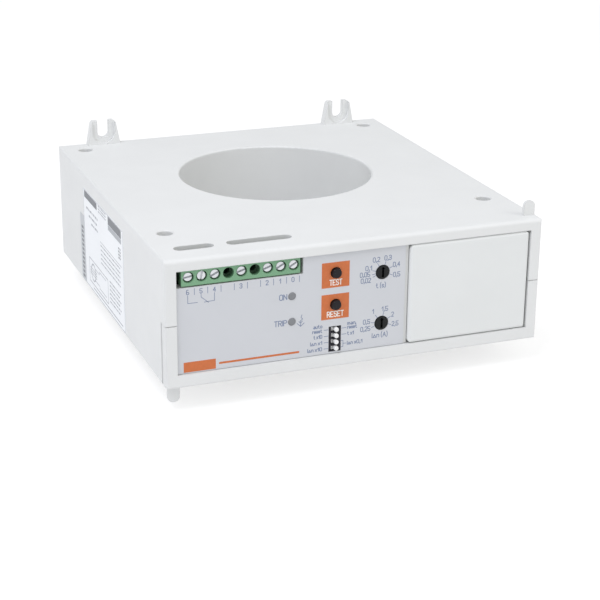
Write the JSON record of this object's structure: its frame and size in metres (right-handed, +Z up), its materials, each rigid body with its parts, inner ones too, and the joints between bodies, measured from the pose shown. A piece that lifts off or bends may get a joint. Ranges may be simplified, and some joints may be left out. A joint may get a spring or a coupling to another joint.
{
  "type": "earth leakage relay",
  "caption": "Box-shaped earth leakage relay with a round cable bore through its case, a front panel of screw terminals, buttons, trimmers and lamps, and slotted rear fixing lugs.",
  "frame": {"origin": "centre of the cable bore, halfway up the case", "axes": "+Z up along the bore out of the case's top, +Y from the printed front to the back, +X to the right seen from the front"},
  "size_m": [0.1524, 0.165, 0.0708],
  "materials": {
    "case": "fine matt moulded",
    "panel": "matt moulded, light grey",
    "film": "printed polyester, satin",
    "terminal_green": "moulded, satin",
    "screw_steel": "plated",
    "clamp_steel": "plated",
    "contact_brass": "tinned",
    "black_control": "satin",
    "key_switch": "moulded",
    "trimmer_blue": "moulded",
    "switch_black": "moulded",
    "slider_white": "moulded",
    "lamp": "clear resin, unlit",
    "board": "solder mask",
    "nylon": "moulded",
    "relay": "moulded",
    "lamination": "varnished laminations",
    "coil_tape": "taped coil",
    "capacitor_sleeve": "sleeved",
    "lead_red": "insulated lead",
    "core_steel": "wound strip",
    "copper": "enamelled winding"
  },
  "bodies": {
    "case": {"upper_shell": "case", "base": "case", "blank_cover": "case", "front_panel": "panel", "panel_overlay": "film", "terminal_block": "terminal_green", "case_screws": "screw_steel", "terminal_bars": "contact_brass", "link_pins": "contact_brass", "test_switch": "key_switch", "reset_switch": "key_switch", "time_trimmer": "trimmer_blue", "current_trimmer": "trimmer_blue", "dip_body": "switch_black", "lamp_spacers": "switch_black", "link_header": "switch_black", "control_chip": "switch_black", "on_lamp": "lamp", "trip_lamp": "lamp", "display_board": "board", "control_board": "board", "board_spacers": "nylon", "lead_plug": "nylon", "output_relay": "relay", "transformer_core": "lamination", "transformer_coil": "coil_tape", "reservoir_capacitor": "capacitor_sleeve", "winding_leads": "lead_red", "ring_core": "core_steel", "ring_winding": "copper"},
    "terminal_screw_1": {"terminal_screw_1": "screw_steel"},
    "terminal_cage_1": {"terminal_cage_1": "clamp_steel"},
    "terminal_screw_2": {"terminal_screw_2": "screw_steel"},
    "terminal_cage_2": {"terminal_cage_2": "clamp_steel"},
    "terminal_screw_3": {"terminal_screw_3": "screw_steel"},
    "terminal_cage_3": {"terminal_cage_3": "clamp_steel"},
    "terminal_screw_5": {"terminal_screw_5": "screw_steel"},
    "terminal_cage_5": {"terminal_cage_5": "clamp_steel"},
    "terminal_screw_7": {"terminal_screw_7": "screw_steel"},
    "terminal_cage_7": {"terminal_cage_7": "clamp_steel"},
    "terminal_screw_8": {"terminal_screw_8": "screw_steel"},
    "terminal_cage_8": {"terminal_cage_8": "clamp_steel"},
    "terminal_screw_9": {"terminal_screw_9": "screw_steel"},
    "terminal_cage_9": {"terminal_cage_9": "clamp_steel"},
    "test_button": {"test_button": "black_control", "test_plunger": "black_control"},
    "reset_button": {"reset_button": "black_control", "reset_plunger": "black_control"},
    "time_rotor": {"time_rotor": "black_control"},
    "current_rotor": {"current_rotor": "black_control"},
    "dip_slider_1": {"dip_slider_1": "slider_white"},
    "dip_slider_2": {"dip_slider_2": "slider_white"},
    "dip_slider_3": {"dip_slider_3": "slider_white"},
    "dip_slider_4": {"dip_slider_4": "slider_white"}
  },
  "joints": [
    {"name": "terminal_screw_1_turn", "type": "hinge", "parent": "case", "child": "terminal_screw_1", "pos_m": [-0.0676, -0.093, 0.0175], "axis": [0, 1, 0], "range_deg": [0, 1800]},
    {"name": "terminal_cage_1_lift", "type": "slide", "parent": "case", "child": "terminal_cage_1", "axis": [0, -1, 0], "range_m": [0, 0.00225]},
    {"name": "terminal_screw_2_turn", "type": "hinge", "parent": "case", "child": "terminal_screw_2", "pos_m": [-0.06252, -0.093, 0.0175], "axis": [0, 1, 0], "range_deg": [0, 1800]},
    {"name": "terminal_cage_2_lift", "type": "slide", "parent": "case", "child": "terminal_cage_2", "axis": [0, -1, 0], "range_m": [0, 0.00225]},
    {"name": "terminal_screw_3_turn", "type": "hinge", "parent": "case", "child": "terminal_screw_3", "pos_m": [-0.05744, -0.093, 0.0175], "axis": [0, 1, 0], "range_deg": [0, 1800]},
    {"name": "terminal_cage_3_lift", "type": "slide", "parent": "case", "child": "terminal_cage_3", "axis": [0, -1, 0], "range_m": [0, 0.00225]},
    {"name": "terminal_screw_5_turn", "type": "hinge", "parent": "case", "child": "terminal_screw_5", "pos_m": [-0.04728, -0.093, 0.0175], "axis": [0, 1, 0], "range_deg": [0, 1800]},
    {"name": "terminal_cage_5_lift", "type": "slide", "parent": "case", "child": "terminal_cage_5", "axis": [0, -1, 0], "range_m": [0, 0.00225]},
    {"name": "terminal_screw_7_turn", "type": "hinge", "parent": "case", "child": "terminal_screw_7", "pos_m": [-0.03712, -0.093, 0.0175], "axis": [0, 1, 0], "range_deg": [0, 1800]},
    {"name": "terminal_cage_7_lift", "type": "slide", "parent": "case", "child": "terminal_cage_7", "axis": [0, -1, 0], "range_m": [0, 0.00225]},
    {"name": "terminal_screw_8_turn", "type": "hinge", "parent": "case", "child": "terminal_screw_8", "pos_m": [-0.03204, -0.093, 0.0175], "axis": [0, 1, 0], "range_deg": [0, 1800]},
    {"name": "terminal_cage_8_lift", "type": "slide", "parent": "case", "child": "terminal_cage_8", "axis": [0, -1, 0], "range_m": [0, 0.00225]},
    {"name": "terminal_screw_9_turn", "type": "hinge", "parent": "case", "child": "terminal_screw_9", "pos_m": [-0.02696, -0.093, 0.0175], "axis": [0, 1, 0], "range_deg": [0, 1800]},
    {"name": "terminal_cage_9_lift", "type": "slide", "parent": "case", "child": "terminal_cage_9", "axis": [0, -1, 0], "range_m": [0, 0.00225]},
    {"name": "test_button_press", "type": "slide", "parent": "case", "child": "test_button", "axis": [0, 1, 0], "range_m": [0, 0.0004], "stiffness_N_per_m": 400},
    {"name": "reset_button_press", "type": "slide", "parent": "case", "child": "reset_button", "axis": [0, 1, 0], "range_m": [0, 0.0004], "stiffness_N_per_m": 400},
    {"name": "time_rotor_turn", "type": "hinge", "parent": "case", "child": "time_rotor", "pos_m": [0.0088, -0.0942, 0.0105], "axis": [0, 1, 0], "range_deg": [-110, 110]},
    {"name": "current_rotor_turn", "type": "hinge", "parent": "case", "child": "current_rotor", "pos_m": [0.0088, -0.0942, -0.0101], "axis": [0, 1, 0], "range_deg": [-110, 110]},
    {"name": "dip_slider_1_slide", "type": "slide", "parent": "case", "child": "dip_slider_1", "axis": [-1, 0, 0], "range_m": [0, 0.0009]},
    {"name": "dip_slider_2_slide", "type": "slide", "parent": "case", "child": "dip_slider_2", "axis": [-1, 0, 0], "range_m": [0, 0.0009]},
    {"name": "dip_slider_3_slide", "type": "slide", "parent": "case", "child": "dip_slider_3", "axis": [-1, 0, 0], "range_m": [0, 0.0009]},
    {"name": "dip_slider_4_slide", "type": "slide", "parent": "case", "child": "dip_slider_4", "axis": [-1, 0, 0], "range_m": [0, 0.0009]}
  ],
  "couplings": [
    {"joint": "terminal_screw_1_turn", "follows": "terminal_cage_1_lift", "rad_per_m": 13963},
    {"joint": "terminal_screw_2_turn", "follows": "terminal_cage_2_lift", "rad_per_m": 13963},
    {"joint": "terminal_screw_3_turn", "follows": "terminal_cage_3_lift", "rad_per_m": 13963},
    {"joint": "terminal_screw_5_turn", "follows": "terminal_cage_5_lift", "rad_per_m": 13963},
    {"joint": "terminal_screw_7_turn", "follows": "terminal_cage_7_lift", "rad_per_m": 13963},
    {"joint": "terminal_screw_8_turn", "follows": "terminal_cage_8_lift", "rad_per_m": 13963},
    {"joint": "terminal_screw_9_turn", "follows": "terminal_cage_9_lift", "rad_per_m": 13963}
  ]
}
